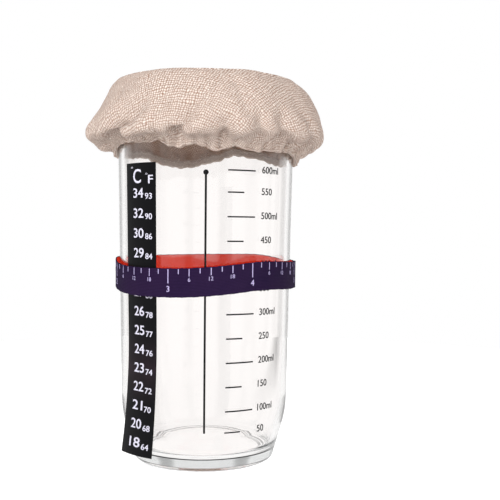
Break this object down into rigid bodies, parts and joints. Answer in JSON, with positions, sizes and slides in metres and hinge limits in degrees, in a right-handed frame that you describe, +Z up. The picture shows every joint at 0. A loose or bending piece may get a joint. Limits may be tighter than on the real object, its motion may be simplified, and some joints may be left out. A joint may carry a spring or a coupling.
{
  "type": "sourdough starter jar",
  "caption": "Tall flared glass food jar with a printed volume scale, a stick-on temperature strip, a loose two-colour feeding band and a puffed cloth cover with an elastic hem.",
  "frame": {"origin": "on the jar's axis, at the surface that the jar stands on", "axes": "+Z up along the jar's axis, -Y towards the front, where the upright feeding line is, +X to the right of someone who faces the front"},
  "size_m": [0.1153, 0.1153, 0.182],
  "materials": {
    "clear_glass": "clear, fire-polished",
    "black_ink": "fired ink",
    "clear_adhesive": "clear acrylic adhesive",
    "black_film": "black polyester film",
    "crystal_ink": "liquid crystal ink, dark outside its range",
    "face_film": "satin polyester film, printed from behind",
    "red_ribbon": "dyed woven ribbon",
    "navy_ribbon": "dyed woven ribbon",
    "ribbon_print": "pale printed ink",
    "navy_thread": "sewing thread",
    "cover_weave": "unbleached plain weave",
    "elastic_rubber": "flat braided elastic",
    "beige_thread": "sewing thread"
  },
  "bodies": {
    "jar": {"jar_glass": "clear_glass", "volume_marks": "black_ink", "feeding_line": "black_ink", "strip_adhesive": "clear_adhesive", "strip_backing": "black_film", "crystal_cells": "crystal_ink", "strip_face": "face_film"},
    "band_slider": {"band_lining": "red_ribbon"},
    "band_dial": {"band_face": "navy_ribbon", "band_ticks": "ribbon_print", "band_stitches": "navy_thread"},
    "cover": {"cover_cloth": "cover_weave", "cover_hem": "cover_weave", "cover_elastic": "elastic_rubber", "hem_stitches": "beige_thread"}
  },
  "joints": [
    {"name": "band_slide", "type": "slide", "parent": "jar", "child": "band_slider", "axis": [0, 0, 1], "range_m": [-0.046, 0.024]},
    {"name": "band_turn", "type": "hinge", "parent": "band_slider", "child": "band_dial", "pos_m": [0, 0, 0.0891], "axis": [0, -0.0407, 0.9992], "continuous": true},
    {"name": "cover_lift", "type": "slide", "parent": "jar", "child": "cover", "axis": [0, 0, 1], "range_m": [0, 0.12]}
  ]
}
